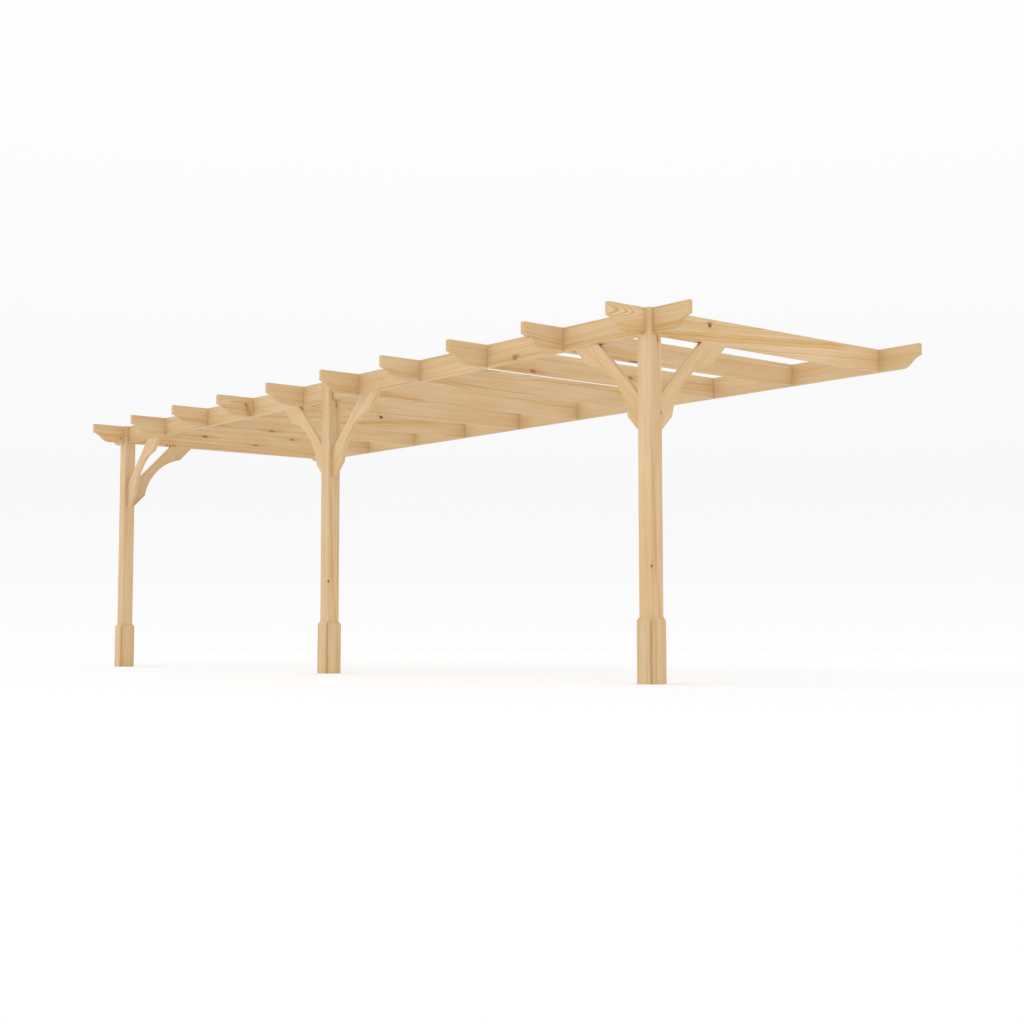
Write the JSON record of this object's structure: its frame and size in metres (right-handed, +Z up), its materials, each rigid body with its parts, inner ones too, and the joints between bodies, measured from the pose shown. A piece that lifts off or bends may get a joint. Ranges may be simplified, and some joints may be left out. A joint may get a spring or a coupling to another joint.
{
  "type": "wall-mounted wooden pergola",
  "caption": "Wall-mounted timber pergola: square posts with boarded feet, a front beam, shaped-tail rafters running back to a wall ledger, and scooped knee braces.",
  "frame": {"origin": "middle of the wall ledger's back face, the face that is fixed to the wall; the ground is 2.336 m below it", "axes": "+X along the beam and the ledger, to the right seen from the garden; +Y out of the ledger's back, into the wall; +Z up"},
  "size_m": [8.28, 2.767, 2.42],
  "materials": {
    "posts": "planed pine, untreated",
    "beams": "planed pine, untreated",
    "rafters": "planed pine, untreated",
    "braces": "planed pine, untreated",
    "foot_boards": "planed pine, untreated"
  },
  "bodies": {
    "root": {"post_left": "posts", "post_middle": "posts", "post_right": "posts", "front_beam": "beams", "wall_ledger": "beams", "rafter_1": "rafters", "rafter_2": "rafters", "rafter_3": "rafters", "rafter_4": "rafters", "rafter_5": "rafters", "rafter_6": "rafters", "rafter_7": "rafters", "rafter_8": "rafters", "rafter_9": "rafters", "rafter_10": "rafters", "brace_left_side": "braces", "brace_left_front": "braces", "brace_middle_left": "braces", "brace_middle_right": "braces", "brace_right_front": "braces", "brace_right_side": "braces", "left_foot_front_board": "foot_boards", "left_foot_back_board": "foot_boards", "left_foot_left_board": "foot_boards", "left_foot_right_board": "foot_boards", "middle_foot_front_board": "foot_boards", "middle_foot_back_board": "foot_boards", "middle_foot_left_board": "foot_boards", "middle_foot_right_board": "foot_boards", "right_foot_front_board": "foot_boards", "right_foot_back_board": "foot_boards", "right_foot_left_board": "foot_boards", "right_foot_right_board": "foot_boards"}
  },
  "joints": []
}
